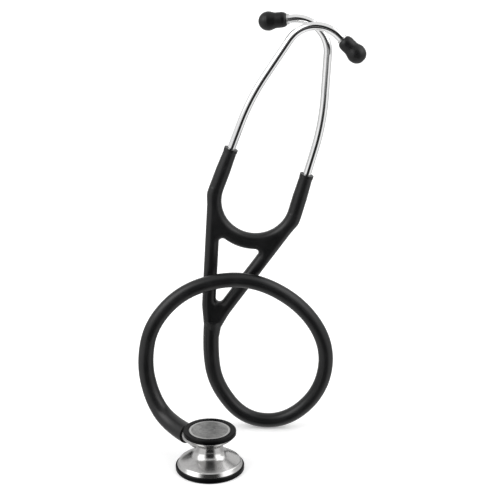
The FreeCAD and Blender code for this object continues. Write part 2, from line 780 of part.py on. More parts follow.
def flexible_shoulder(side):
    """The bending stretch of the moulding between the yoke and one arm."""
    below = size("shoulder_overlap")
    start, end = -below, size("arm_start")
    rod = Part.makeCylinder(size("arm_radius"), end - start, Vector(0, 0, start))
    rod.Placement = HEADSET_PLACE.inverse() * ear_place(side)
    slab = Part.makeBox(size("arm_spacing") * 2, size("yoke_depth") * 2, 4 * below,
                        Vector(-size("arm_spacing"), -size("yoke_depth"), -4 * below))
    rod = rod.cut(slab).cut(leaf_spring_shape(size("fit")))
    return solid_feature(f"{side}_shoulder", rod, HEADSET_PLACE)


# ---------------------------------------------------------------- headset

def arm(side):
    """A moulded sleeve that grips the foot of an ear tube; it tapers up to a small cuff."""
    body = new_body(f"{side}_arm")
    revolved(body, "sleeve", [
        ("0", "arm_start"),
        ("arm_radius", "arm_start"),
        ("arm_top_radius", "arm_end - cuff_length"),
        ("cuff_radius", "arm_end - cuff_length / 2"),
        ("cuff_radius", "arm_end - arm_edge_radius"),
        ("cuff_radius - arm_edge_radius", "arm_end"),
        ("ear_tube_radius + fit", "arm_end"),
        ("ear_tube_radius + fit", "ear_tube_foot - fit"),
        ("0", "ear_tube_foot - fit"),
    ])
    body.Placement = ear_place(side)
    return body


def ear_tube(side):
    """A bent metal tube: a ring swept along two lines and two arcs."""
    body = new_body(f"{side}_ear_tube")
    path = ear_tube_path()
    spine = flat_sketch(body, "axis")

    def flat(point):
        return Vector(point.x, point.z, 0)

    knee, both = path["knee"], path["both"]
    normal = Vector(0, 0, 1)
    geometry = [
        Part.LineSegment(flat(path["foot"]), flat(path["knee_start"])),
        Part.ArcOfCircle(Part.Circle(flat(path["knee_centre"]), normal,
                                     size("ear_knee_radius")), 0, knee),
        Part.LineSegment(flat(path["knee_end"]), flat(path["crook_start"])),
        Part.ArcOfCircle(Part.Circle(flat(path["crook_centre"]), normal,
                                     size("ear_crook_radius")), knee, both),
        Part.LineSegment(flat(path["crook_end"]), flat(path["end"])),
    ]
    for piece in geometry:
        spine.addGeometry(piece, False)

    def held(kind, *where, formula=None, degrees=False):
        value = size(formula)
        index = spine.addConstraint(Sketcher.Constraint(
            kind, *where, math.radians(value) if degrees else value))
        spine.setExpression(f"Constraints[{index}]", bound(formula))

    spine.addConstraint(Sketcher.Constraint("PointOnObject", 0, 1, -2))
    spine.addConstraint(Sketcher.Constraint("Vertical", 0))
    for before in range(4):
        spine.addConstraint(Sketcher.Constraint("Tangent", before, 2, before + 1, 1))
    held("DistanceY", -1, 1, 0, 1, formula="ear_tube_foot")
    held("DistanceY", 0, 1, 0, 2, formula="ear_straight")
    held("Radius", 1, formula="ear_knee_radius")
    held("Distance", 2, formula="ear_shin")
    held("Radius", 3, formula="ear_crook_radius")
    held("Distance", 4, formula="ear_end_straight")
    held("Angle", 2, formula="90 + ear_knee_turn", degrees=True)
    held("Angle", 4, formula="90 + ear_knee_turn + ear_crook_turn", degrees=True)

    ring = circles(body, "section", ["ear_tube_radius", "ear_tube_bore_radius"],
                   height="ear_tube_foot")
    pipe = body.newObject("PartDesign::AdditivePipe", "pipe")
    pipe.Profile = ring
    pipe.Spine = (spine, [f"Edge{n}" for n in range(1, 6)])
    doc.recompute()
    body.Placement = ear_tube_place(side)
    return body


def tip_adapter(side):
    """The end fitting: pressed into the ear tube, with a flange and a nipple for the eartip."""
    body = new_body(f"{side}_tip_adapter")
    revolved(body, "turned", [
        ("adapter_bore_radius", "-adapter_tail"),
        ("ear_tube_bore_radius - fit", "-adapter_tail"),
        ("ear_tube_bore_radius - fit", "0"),
        ("adapter_flange_radius", "0"),
        ("adapter_flange_radius", "adapter_flange"),
        ("adapter_radius", "adapter_flange"),
        ("adapter_radius", "adapter_reach"),
        ("adapter_bore_radius", "adapter_reach"),
    ])
    body.Placement = tip_place(side)
    return body


def eartip(side):
    """A soft bulb on a rounded collar, bored for the nipple and the sound."""
    body = new_body(f"{side}_eartip")
    start = "adapter_flange + eartip_gap"
    bulb_centre = f"{start} + eartip_length - eartip_bulb_radius"
    collar = circles(body, "collar_circle", ["eartip_collar_radius"], height=start)
    raised(body, "collar", collar, "eartip_length - eartip_bulb_radius")
    bulb = body.newObject("PartDesign::AdditiveSphere", "bulb")
    bulb.AttachmentSupport = [(origin_plane(body, "XY_Plane"), "")]
    bulb.MapMode = "FlatFace"
    bulb.setExpression("AttachmentOffset.Base.z", bound(bulb_centre))
    bulb.setExpression("Radius", bound("eartip_bulb_radius"))
    doc.recompute()
    meeting = (f"{bulb_centre} - sqrt(eartip_bulb_radius * eartip_bulb_radius"
               " - eartip_collar_radius * eartip_collar_radius)")
    waist = rounded(body, "waist", bulb, [("eartip_collar_radius", meeting)],
                    "eartip_waist_round")
    rounded(body, "collar_end", waist, [("eartip_collar_radius", start)],
            "eartip_collar_round")
    mouth = circles(body, "nipple_circle", ["adapter_radius + running_fit"], height=start)
    raised(body, "nipple_bore", mouth, f"adapter_reach + adapter_end_gap - ({start})",
           cut=True, backward=True)
    sound = circles(body, "sound_circle", ["eartip_sound_radius"], height=start)
    raised(body, "sound_bore", sound, "eartip_length", cut=True, backward=True)
    body.Placement = tip_place(side)
    return body


# ---------------------------------------------------------------- hose

def hose():
    """The thick hose: straight runs joined by tangent arcs, bored at the stem for its barbs."""
    first = Vector(size("tail_x"), size("headset_y"), size("tail_z"))
    last = stem_point(size("stem_reach"))
    points = [first] + [Vector(*place) for place in HOSE_ROUTE] + [last]
    share = size("arc_share")
    edges, here, length = [], first, 0.0
    radii = []
    for before, corner, after in zip(points, points[1:], points[2:]):
        inward, outward = before - corner, after - corner
        reach = share * min(inward.Length, outward.Length)
        half = inward.getAngle(outward) / 2
        radius = reach * math.tan(half)
        radii.append(radius)
        inward.normalize()
        outward.normalize()
        start, end = corner + inward * reach, corner + outward * reach
        middle_way = (inward + outward).normalize()
        middle = corner + middle_way * (radius / math.sin(half) - radius)
        edges.append(Part.LineSegment(here, start).toShape())
        edges.append(Part.Arc(start, middle, end).toShape())
        here = end
    edges.append(Part.LineSegment(here, last).toShape())
    spine = Part.Wire(edges)
    section = Part.Wire(Part.makeCircle(size("hose_radius"), first, points[1] - first))
    tube = spine.makePipeShell([section], True, False)
    expected = math.pi * size("hose_radius") ** 2 * spine.Length
    print("hose length", round(spine.Length, 2), "volume", round(tube.Volume, 1),
          "expected", round(expected, 1))
    print("hose radii", [round(radius, 1) for radius in radii])
    if abs(tube.Volume / expected - 1) > VOLUME_SLACK:
        raise ValueError("the hose's volume isn't its section times its length")
    depth = size("barb_length + stem_end_gap")
    into_hose = STEM_PLACE.Rotation.multVec(Vector(0, 0, 1))
    stretched = Part.makeCone(size("hose_end_radius"), size("hose_radius - fit"),
                              size("hose_end_taper"), last, into_hose)
    bore = Part.makeCylinder(size("hose_bore_radius"), depth, last, into_hose)
    return solid_feature("hose", tube.fuse(stretched).cut(bore))


# ---------------------------------------------------------------- the whole part

chestpiece_body()
rim("large_rim", LARGE_WALL_RADIUS, LARGE_HOOK_RADIUS, "large", LARGE_FLANGE_HIGH + " + fit")
rim("small_rim", SMALL_WALL_RADIUS, SMALL_HOOK_RADIUS, "small", SMALL_FLANGE_LOW + " - fit")
membrane("large_diaphragm", "large")
membrane("small_diaphragm", "small")
cover_disc()
stem()
stem_seal()
detent()
yoke()
leaf_spring()
for side in ("left", "right"):
    flexible_shoulder(side)
    arm(side)
    ear_tube(side)
    tip_adapter(side)
    eartip(side)
hose()

doc.recompute()
for item in doc.Objects:
    if {"Invalid", "Error"} & set(item.State):
        raise ValueError(f"{item.Label} failed: {item.State}")
for part in sub_parts:
    shape = part.Shape
    if shape.isNull() or not shape.isValid() or len(shape.Solids) != 1:
        raise ValueError(f"{part.Label} has no good solid")

os.makedirs("parts", exist_ok=True)
for part in sub_parts:
    part.Shape.exportStep(f"parts/{part.Label}.step")
    print(part.Label, round(part.Shape.Volume, 2))
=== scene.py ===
"""A cardiology stethoscope, dressed for the camera: metal, moulding, hose and soft eartips."""

import json
import logging
import math
from collections.abc import Callable
from dataclasses import dataclass, field
from enum import Enum

import bmesh
import bpy
from mathutils import Matrix, Vector


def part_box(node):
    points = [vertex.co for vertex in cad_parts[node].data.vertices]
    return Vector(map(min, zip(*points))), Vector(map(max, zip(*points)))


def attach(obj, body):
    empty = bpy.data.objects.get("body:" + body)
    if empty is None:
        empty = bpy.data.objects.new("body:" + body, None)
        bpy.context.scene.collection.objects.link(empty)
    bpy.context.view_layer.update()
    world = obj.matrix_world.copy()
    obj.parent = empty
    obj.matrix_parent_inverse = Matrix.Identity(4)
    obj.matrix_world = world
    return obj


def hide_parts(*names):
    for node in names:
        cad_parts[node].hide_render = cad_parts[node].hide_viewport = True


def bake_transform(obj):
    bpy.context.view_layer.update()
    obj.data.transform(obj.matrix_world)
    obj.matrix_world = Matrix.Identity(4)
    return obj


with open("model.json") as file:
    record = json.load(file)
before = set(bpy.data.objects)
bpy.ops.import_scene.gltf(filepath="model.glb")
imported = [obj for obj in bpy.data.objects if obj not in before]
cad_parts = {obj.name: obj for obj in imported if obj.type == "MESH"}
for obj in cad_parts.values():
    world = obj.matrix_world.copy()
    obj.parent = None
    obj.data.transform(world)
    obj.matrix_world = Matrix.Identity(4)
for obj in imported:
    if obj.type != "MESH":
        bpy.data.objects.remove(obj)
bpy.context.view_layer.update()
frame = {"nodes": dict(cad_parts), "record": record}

log = logging.getLogger("stethoscope")

Number = int | float
Colour = tuple[float, float, float]
Span = tuple[float, float]

# Vertices this near to each other are one: within a mesh, and where two outlines meet.
WELD = 1e-7
SEAM = 2e-6
FULL_TURN = 2 * math.pi
# A straight outline needs only the rings at its two ends.
STRAIGHT = 2


# ---------------------------------------------------------------- node maths


class Signal:
    """A node's output that does arithmetic: each operator adds one Math node."""

    def __init__(self, graph: "Graph", socket: bpy.types.NodeSocket) -> None:
        """Wrap a socket.

        Args:
            graph: the node tree that the socket belongs to.
            socket: the output socket.
        """
        self.graph = graph
        self.socket = socket

    def _maths(self, operation: str, *values: "Signal | Number") -> "Signal":
        """Add one Math node.

        Args:
            operation: the Math node's operation.
            values: its inputs, in order.

        Returns:
            The node's result.
        """
        return self.graph.add("ShaderNodeMath", {"operation": operation},
                              dict(enumerate(values)))

    def __add__(self, other: "Signal | Number") -> "Signal":
        """Return self + other."""
        return self._maths("ADD", self, other)

    def __radd__(self, other: Number) -> "Signal":
        """Return other + self."""
        return self._maths("ADD", other, self)

    def __sub__(self, other: "Signal | Number") -> "Signal":
        """Return self - other."""
        return self._maths("SUBTRACT", self, other)

    def __rsub__(self, other: Number) -> "Signal":
        """Return other - self."""
        return self._maths("SUBTRACT", other, self)

    def __mul__(self, other: "Signal | Number") -> "Signal":
        """Return self * other."""
        return self._maths("MULTIPLY", self, other)

    def __rmul__(self, other: Number) -> "Signal":
        """Return other * self."""
        return self._maths("MULTIPLY", other, self)

    def __truediv__(self, other: "Signal | Number") -> "Signal":
        """Return self / other."""
        return self._maths("DIVIDE", self, other)

    def __rtruediv__(self, other: Number) -> "Signal":
        """Return other / self."""
        return self._maths("DIVIDE", other, self)

    def __pow__(self, other: "Signal | Number") -> "Signal":
        """Return self to the power of other."""
        return self._maths("POWER", self, other)

    def __rpow__(self, other: Number) -> "Signal":
        """Return other to the power of self."""
        return self._maths("POWER", other, self)

    def __abs__(self) -> "Signal":
        """Return the size of self without its sign."""
        return self._maths("ABSOLUTE", self)

    def __neg__(self) -> "Signal":
        """Return self times minus one."""
        return self._maths("MULTIPLY", self, -1.0)

    def sine(self) -> "Signal":
        """Return the sine of self, in radians."""
        return self._maths("SINE", self)

    def cosine(self) -> "Signal":
        """Return the cosine of self, in radians."""
        return self._maths("COSINE", self)

    def root(self) -> "Signal":
        """Return the square root of self, or 0 where self is negative."""
        return self._maths("SQRT", self._maths("MAXIMUM", self, 0.0))

    def over(self, limit: Number) -> "Signal":
        """Return 1 where self is greater than the limit, and 0 elsewhere."""
        return self._maths("GREATER_THAN", self, limit)

    def greater(self, other: "Signal | Number", round_off: "Signal | Number") -> "Signal":
        """Return the greater of self and other, rounded off where they are near each other."""
        return self._maths("SMOOTH_MAX", self, other, round_off)

    def clamped(self) -> "Signal":
        """Return self held between 0 and 1."""
        return self.graph.add("ShaderNodeClamp", {}, {"Value": self})

    def step(self, low: float, high: float) -> "Signal":
        """Rise smoothly from 0 at low to 1 at high.

        Args:
            low: where the rise starts.
            high: where it ends.

        Returns:
            The smooth step.
        """
        return self.graph.add(
            "ShaderNodeMapRange", {"interpolation_type": "SMOOTHSTEP"},
            {"Value": self, "From Min": low, "From Max": high})


class Graph:
    """A node tree, built from Python calls."""

    def __init__(self, tree: bpy.types.NodeTree) -> None:
        """Wrap a node tree.

        Args:
            tree: a material's, a world's or a geometry modifier's tree.
        """
        self.tree = tree

    def add(self, kind: str, settings: dict, inputs: dict,
            output: int | str = 0) -> Signal:
        """Add a node.

        Args:
            kind: the node's type.
            settings: its properties, set first.
            inputs: values or signals by socket name or number.
            output: which output to return.

        Returns:
            The chosen output as a signal.
        """
        node = self.tree.nodes.new(kind)
        for name, value in settings.items():
            setattr(node, name, value)
        for name, value in inputs.items():
            self.feed(node.inputs[name], value)
        return Signal(self, node.outputs[output])

    def feed(self, socket: bpy.types.NodeSocket, value: "Signal | Number | tuple") -> None:
        """Link or set a socket.

        Args:
            socket: the input socket.
            value: a signal to link, or a plain value.
        """
        if isinstance(value, Signal):
            self.tree.links.new(value.socket, socket)
        elif isinstance(value, tuple) and len(value) == 3 and socket.type == "RGBA":
            socket.default_value = (*value, 1.0)
        else:
            socket.default_value = value

    def parts(self, vector: Signal) -> tuple[Signal, Signal, Signal]:
        """Split a vector.

        Args:
            vector: the vector.

        Returns:
            Its x, y and z.
        """
        first = self.add("ShaderNodeSeparateXYZ", {}, {"Vector": vector})
        node = first.socket.node
        return first, Signal(self, node.outputs[1]), Signal(self, node.outputs[2])

    def joined(self, x: "Signal | Number", y: "Signal | Number",
               z: "Signal | Number") -> Signal:
        """Return a vector made of three numbers."""
        return self.add("ShaderNodeCombineXYZ", {}, {"X": x, "Y": y, "Z": z})

    def noise(self, vector: Signal, scale: float, detail: float = 3.0,
              roughness: float = 0.5) -> Signal:
        """Smooth noise between 0 and 1.

        Args:
            vector: where to read it.
            scale: cells a unit.
            detail: octaves.
            roughness: weight of the finer octaves.

        Returns:
            The noise.
        """
        return self.add("ShaderNodeTexNoise", {"noise_dimensions": "3D"},
                        {"Vector": vector, "Scale": scale, "Detail": detail,
                         "Roughness": roughness})

    def mixed(self, share: "Signal | Number", first: "Signal | Colour",
              second: "Signal | Colour") -> Signal:
        """Blend two colours.

        Args:
            share: weight of the second.
            first: colour at 0.
            second: colour at 1.

        Returns:
            The blended colour.
        """
        return self.add("ShaderNodeMixRGB", {"blend_type": "MIX"},
                        {"Fac": share, "Color1": first, "Color2": second})


class Shader(Graph):
    """One material, with a principled surface."""

    def __init__(self, name: str) -> None:
        """Start a material.

        Args:
            name: the material's name.
        """
        self.material = bpy.data.materials.new(name)
        self.material.use_nodes = True
        super().__init__(self.material.node_tree)
        self.surface = self.tree.nodes["Principled BSDF"]
        self.output = self.tree.nodes["Material Output"]

    def place(self, scale: tuple[float, float, float] = (1.0, 1.0, 1.0)) -> Signal:
        """Object coordinates, scaled.

        Args:
            scale: factors along the three axes.

        Returns:
            The coordinates as a vector.
        """
        where = self.add("ShaderNodeTexCoord", {}, {}, "Object")
        return self.add("ShaderNodeMapping", {"vector_type": "POINT"},
                        {"Vector": where, "Scale": scale})

    def bump(self, height: Signal, distance: float) -> Signal:
        """A normal from a height.

        Args:
            height: 0 to 1.
            distance: metres between 0 and 1.

        Returns:
            The normal.
        """
        return self.add("ShaderNodeBump", {}, {"Height": height, "Distance": distance})

    def finish(self, **sockets: "Signal | Number | tuple") -> bpy.types.Material:
        """Feed the principled surface.

        Args:
            sockets: values by socket name, with _ for a space.

        Returns:
            The material.
        """
        for name, value in sockets.items():
            self.feed(self.surface.inputs[name.replace("_", " ")], value)
        return self.material


Outline = Callable[[Signal], tuple[Signal, Signal]]


class Recipe(Graph):
    """A Geometry Nodes tree with named inputs, that is run once to make a plain mesh."""

    def __init__(self, name: str, sizes: dict[str, Number]) -> None:
        """Start a tree.

        Args:
            name: the tree's name.
            sizes: its inputs by name; a whole number makes an integer input.
        """
        super().__init__(bpy.data.node_groups.new(name, "GeometryNodeTree"))
        self.sizes = sizes
        for label, value in sizes.items():
            kind = "NodeSocketInt" if isinstance(value, int) else "NodeSocketFloat"
            self.tree.interface.new_socket(label, in_out="INPUT", socket_type=kind)
        self.tree.interface.new_socket("Piece", in_out="OUTPUT",
                                       socket_type="NodeSocketGeometry")
        self.inlet = self.tree.nodes.new("NodeGroupInput")
        self.outlet = self.tree.nodes.new("NodeGroupOutput")

    def size(self, label: str) -> Signal:
        """Return the named input."""
        return Signal(self, self.inlet.outputs[label])

    def lathe(self, stations: Signal | int, segments: Signal, outline: Outline) -> Signal:
        """Turn an outline round the Z axis.

        Args:
            stations: how many rings of vertices it has.
            segments: how many vertices a ring has.
            outline: gives the radius and the height at a share from 0 to 1 of the outline.

        Returns:
            The turned surface, closed round its seam.
        """
        sheet = self.add("GeometryNodeMeshGrid", {}, {
            "Size X": 1.0, "Size Y": 1.0, "Vertices X": stations, "Vertices Y": segments})
        x, y, _ = self.parts(self.add("GeometryNodeInputPosition", {}, {}))
        radius, height = outline(x + 0.5)
        angle = (y + 0.5) * FULL_TURN
        turned = self.add("GeometryNodeSetPosition", {}, {
            "Geometry": sheet,
            "Position": self.joined(radius * angle.cosine(), radius * angle.sine(), height)})
        return self.add("GeometryNodeMergeByDistance", {},
                        {"Geometry": turned, "Distance": WELD})

    def turned(self, segments: Signal, *outlines: tuple[Outline, Signal | int]) -> Signal:
        """Turn several outlines and weld them where they meet.

        Args:
            segments: how many vertices a ring has.
            outlines: each outline with its number of rings.

        Returns:
            One closed surface.
        """
        joined = self.tree.nodes.new("GeometryNodeJoinGeometry")
        for outline, stations in outlines:
            surface = self.lathe(stations, segments, outline)
            self.tree.links.new(surface.socket, joined.inputs[0])
        return self.add("GeometryNodeMergeByDistance", {},
                        {"Geometry": Signal(self, joined.outputs[0]), "Distance": SEAM})

    def made(self, shape: Signal, material: bpy.types.Material,
             place: Matrix) -> bpy.types.Object:
        """Run the tree and keep its mesh.

        Args:
            shape: the geometry that the tree ends with.
            material: the piece's finish.
            place: where the piece goes in the row's frame.

        Returns:
            The piece, with a plain mesh and its faces outwards.
        """
        whole = self.add("GeometryNodeRealizeInstances", {}, {"Geometry": shape})
        finished = self.add("GeometryNodeSetMaterial", {},
                            {"Geometry": whole, "Material": material})
        self.feed(self.outlet.inputs["Piece"], finished)
        name = self.tree.name
        piece = bpy.data.objects.new(name, bpy.data.meshes.new(name))
        bpy.context.scene.collection.objects.link(piece)
        run = piece.modifiers.new("recipe", "NODES")
        run.node_group = self.tree
        for item in self.tree.interface.items_tree:
            if item.item_type == "SOCKET" and item.in_out == "INPUT":
                run[item.identifier] = self.sizes[item.name]
        applied(piece)
        bm = bmesh.new()
        bm.from_mesh(piece.data)
        bm.transform(place)
        bmesh.ops.remove_doubles(bm, verts=bm.verts, dist=WELD)
        bmesh.ops.recalc_face_normals(bm, faces=bm.faces)
        for face in bm.faces:
            face.smooth = True
        bm.to_mesh(piece.data)
        bm.free()
        log.info("%s: %d faces", name, len(piece.data.polygons))
        return piece


# ---------------------------------------------------------------- finishes


@dataclass(frozen=True)
class MouldedSkin:
    """A moulded surface: clouded in colour and gloss, under a fine bumpy skin."""

    name: str
    colour: Colour
    clouded: Colour
    roughness: float
    cloud_roughness: float
    skin_roughness: float
    gloss: float
    cloud_scale: float
    cloud_detail: float
    cloud_span: Span
    skin_scale: float
    skin_height: float

    def material(self) -> bpy.types.Material:
        """Build the finish and return its material."""
        shader = Shader(self.name)
        where = shader.place()
        cloud = shader.noise(where, self.cloud_scale, self.cloud_detail, 0.6)
        skin = shader.noise(where, self.skin_scale, 2.0)
        colour = shader.mixed(cloud.step(*self.cloud_span), self.colour, self.clouded)
        rough = self.roughness + self.cloud_roughness * cloud + self.skin_roughness * skin
        return shader.finish(Base_Color=colour, Roughness=rough,
                             Normal=shader.bump(skin, self.skin_height),
                             Specular_IOR_Level=self.gloss)


@dataclass(frozen=True)
class SatinMoulding(MouldedSkin):
    """Satin black PVC: a faint orange-peel skin, a little mottled."""

    name: str = "satin_moulding"
    colour: Colour = (0.0062, 0.0063, 0.0068)
    clouded: Colour = (0.0118, 0.0119, 0.0126)
    roughness: float = 0.27
    cloud_roughness: float = 0.11
    skin_roughness: float = 0.04
    gloss: float = 0.38
    cloud_scale: float = 90.0
    cloud_detail: float = 4.0
    cloud_span: Span = (0.35, 0.80)
    skin_scale: float = 2600.0
    skin_height: float = 0.000012


@dataclass(frozen=True)
class RimPlastic(MouldedSkin):
    """Black moulded rim: smoother than the hose, with a soft sheen."""

    name: str = "rim_plastic"
    colour: Colour = (0.0020, 0.0020, 0.0022)
    clouded: Colour = (0.0060, 0.0060, 0.0063)
    roughness: float = 0.24
    cloud_roughness: float = 0.10
    skin_roughness: float = 0.0
    gloss: float = 0.08
    cloud_scale: float = 200.0
    cloud_detail: float = 3.0
    cloud_span: Span = (0.50, 0.85)
    skin_scale: float = 3200.0
    skin_height: float = 0.000008


@dataclass(frozen=True)
class SoftTip(MouldedSkin):
    """Soft black silicone: deep, slightly greasy, with a fine matt skin."""

    name: str = "soft_tip"
    colour: Colour = (0.0035, 0.0035, 0.0038)
    clouded: Colour = (0.0100, 0.0100, 0.0106)
    roughness: float = 0.36
    cloud_roughness: float = 0.12
    skin_roughness: float = 0.0
    gloss: float = 0.34
    cloud_scale: float = 150.0
    cloud_detail: float = 4.0
    cloud_span: Span = (0.40, 0.80)
    skin_scale: float = 4200.0
    skin_height: float = 0.00001


@dataclass(frozen=True)
class TurnedSteel:
    """Polished steel with the fine rings that a lathe leaves round the Z axis."""

    name: str = "turned_steel"
    colour: Colour = (0.54, 0.535, 0.53)
    shade: Colour = (0.44, 0.436, 0.43)
    roughness: float = 0.19
    ring_roughness: float = 0.05
    wear_roughness: float = 0.06
    ring_height: float = 0.0000012
    rings: float = 5200.0
    wear_scale: float = 160.0
    shade_span: Span = (0.45, 0.80)
    wear_span: Span = (0.50, 0.85)

    def material(self) -> bpy.types.Material:
        """Build the finish and return its material."""
        shader = Shader(self.name)
        x, y, z = shader.parts(shader.place())
        radius = (x * x + y * y) ** 0.5
        rings = shader.noise(shader.joined(radius * self.rings, z * self.rings, 0.0),
                             1.0, 2.0, 0.6)
        wear = shader.noise(shader.place(), self.wear_scale, 4.0, 0.65)
        colour = shader.mixed(wear.step(*self.shade_span), self.colour, self.shade)
        rough = (self.roughness + self.ring_roughness * rings
                 + self.wear_roughness * wear.step(*self.wear_span))
        return shader.finish(Base_Color=colour, Metallic=1.0, Roughness=rough,
                             Normal=shader.bump(rings, self.ring_height))


@dataclass(frozen=True)
class PolishedTube:
    """Bright drawn tube with a very fine grain and a few smudges."""

    name: str = "polished_tube"
    colour: Colour = (0.93, 0.93, 0.93)
    smudge: Colour = (0.86, 0.86, 0.87)
    roughness: float = 0.09
    smudge_roughness: float = 0.07
    grain_roughness: float = 0.02
    smudge_scale: float = 70.0
    smudge_span: Span = (0.45, 0.75)
    dull_span: Span = (0.40, 0.80)
    grain: float = 1800.0
    grain_height: float = 0.0000015

    def material(self) -> bpy.types.Material:
        """Build the finish and return its material."""
        shader = Shader(self.name)
        where = shader.place()
        smudges = shader.noise(where, self.smudge_scale, 4.0, 0.6)
        fine = shader.noise(where, self.grain, 2.0)
        colour = shader.mixed(smudges.step(*self.smudge_span), self.colour, self.smudge)
        rough = (self.roughness + self.smudge_roughness * smudges.step(*self.dull_span)
                 + self.grain_roughness * fine)
        return shader.finish(Base_Color=colour, Metallic=1.0, Roughness=rough,
                             Normal=shader.bump(fine, self.grain_height))


@dataclass(frozen=True)
class BrushedDisc:
    """Silver-grey satin metal with a cloudy, finely scratched face, and a painted highlight
    ring round its edge.
    """

    name: str = "brushed_disc"
    light: Colour = (0.52, 0.52, 0.51)
    dark: Colour = (0.20, 0.20, 0.20)
    # Painted highlight: the outer ring of the face is coloured lighter to stand for the bright
    # ring of light along the disc's edge.
    border: Colour = (0.60, 0.60, 0.59)
    highlight_ring_start: float = 0.01155
    highlight_ring_blur: float = 0.0002
    metallic: float = 0.9
    roughness: float = 0.30
    brush_roughness: float = 0.14
    ring_scale: float = 2600.0
    brush_scale: tuple[float, float, float] = (260.0, 3000.0, 260.0)
    cloud_scale: float = 240.0
    tone_shares: tuple[float, float, float] = (0.45, 0.30, 0.25)
    tone_span: Span = (0.36, 0.66)
    relief: float = 0.000003

    def material(self) -> bpy.types.Material:
        """Build the finish and return its material."""
        shader = Shader(self.name)
        x, y, _ = shader.parts(shader.place())
        radius = (x * x + y * y) ** 0.5
        rings = shader.noise(shader.joined(radius * self.ring_scale, 0.0, 0.0), 1.0, 2.0)
        brushed = shader.noise(shader.place(self.brush_scale), 1.0, 3.0, 0.6)
        cloud = shader.noise(shader.place(), self.cloud_scale, 4.0, 0.7)
        of_cloud, of_brush, of_rings = self.tone_shares
        tone = (of_cloud * cloud + of_brush * brushed + of_rings * rings).step(*self.tone_span)
        # Beyond this radius the face takes the lighter border colour, a painted highlight
        # ring.
        edge = (radius - self.highlight_ring_start).step(-self.highlight_ring_blur, self.highlight_ring_blur)
        colour = shader.mixed(edge, shader.mixed(tone, self.dark, self.light), self.border)
        return shader.finish(Base_Color=colour, Metallic=self.metallic,
                             Roughness=self.roughness + self.brush_roughness * brushed,
                             Normal=shader.bump(brushed + rings, self.relief))


@dataclass(frozen=True)
class WovenResin:
    """The diaphragms: pale glass-fibre resin with a fine square weave."""

    name: str = "woven_resin"
    light: Colour = (0.46, 0.46, 0.44)
    dark: Colour = (0.34, 0.34, 0.33)
    pitch: float = 0.0005
    weave_share: float = 0.6
    weave_height: float = 0.00001
    cloud_scale: float = 300.0
    roughness: float = 0.42
    cloud_roughness: float = 0.10

    def material(self) -> bpy.types.Material:
        """Build the finish and return its material."""
        shader = Shader(self.name)
        x, y, _ = shader.parts(shader.place())
        turns = FULL_TURN / self.pitch
        weave = 0.5 + 0.25 * (x * turns).sine() + 0.25 * (y * turns).sine()
        cloud = shader.noise(shader.place(), self.cloud_scale, 3.0)
        tone = (self.weave_share * weave + (1 - self.weave_share) * cloud).clamped()
        return shader.finish(Base_Color=shader.mixed(tone, self.dark, self.light),
                             Roughness=self.roughness + self.cloud_roughness * cloud,
                             Normal=shader.bump(weave, self.weave_height))


@dataclass(frozen=True)
class BrightSteel:
    """Small turned and drawn steel pieces."""

    name: str = "bright_steel"
    colour: Colour = (0.66, 0.66, 0.65)
    oiled: Colour = (0.52, 0.52, 0.51)
    roughness: float = 0.22
    cloud_roughness: float = 0.12
    cloud_scale: float = 900.0
    oil_span: Span = (0.40, 0.80)
    relief: float = 0.000004

    def material(self) -> bpy.types.Material:
        """Build the finish and return its material."""
        shader = Shader(self.name)
        cloud = shader.noise(shader.place(), self.cloud_scale, 3.0)
        colour = shader.mixed(cloud.step(*self.oil_span), self.colour, self.oiled)
        return shader.finish(Base_Color=colour, Metallic=1.0,
                             Roughness=self.roughness + self.cloud_roughness * cloud,
                             Normal=shader.bump(cloud, self.relief))


# ---------------------------------------------------------------- mesh helpers


def own_mesh(name: str, bm: bmesh.types.BMesh, material: bpy.types.Material,
             smooth: bool = True) -> bpy.types.Object:
    """Turn a bmesh into an object at the origin.

    Args:
        name: the piece's name.
        bm: its mesh, in metres in the row's frame; freed here.
        material: its finish.
        smooth: whether its faces are shaded smooth.

    Returns:
        The object.
    """
    mesh = bpy.data.meshes.new(name)
    bm.to_mesh(mesh)
    bm.free()
    for polygon in mesh.polygons:
        polygon.use_smooth = smooth
    mesh.materials.append(material)
    piece = bpy.data.objects.new(name, mesh)
    bpy.context.scene.collection.objects.link(piece)
    return piece


def applied(piece: bpy.types.Object) -> bpy.types.Object:
    """Bake a piece's modifiers into its mesh.

    Args:
        piece: the object.

    Returns:
        The same object, with a plain mesh and no modifiers.
    """
    bpy.context.view_layer.update()
    evaluated = piece.evaluated_get(bpy.context.evaluated_depsgraph_get())
    mesh = bpy.data.meshes.new_from_object(evaluated)
    mesh.name = piece.name
    piece.modifiers.clear()
    piece.data = mesh
    return piece


def dress(material: bpy.types.Material, *nodes: str) -> None:
    """Give CAD nodes their finish.

    Args:
        material: the finish.
        nodes: the nodes' names.
    """
    for node in nodes:
        for slot in frame["nodes"][node].material_slots:
            slot.material = material
        log.info("%s: %s", node, material.name)


def joint(name: str) -> dict:
    """Return the record's joint of that name."""
    return next(j for j in frame["record"]["behaviour"]["joints"] if j["name"] == name)


# ---------------------------------------------------------------- the hose


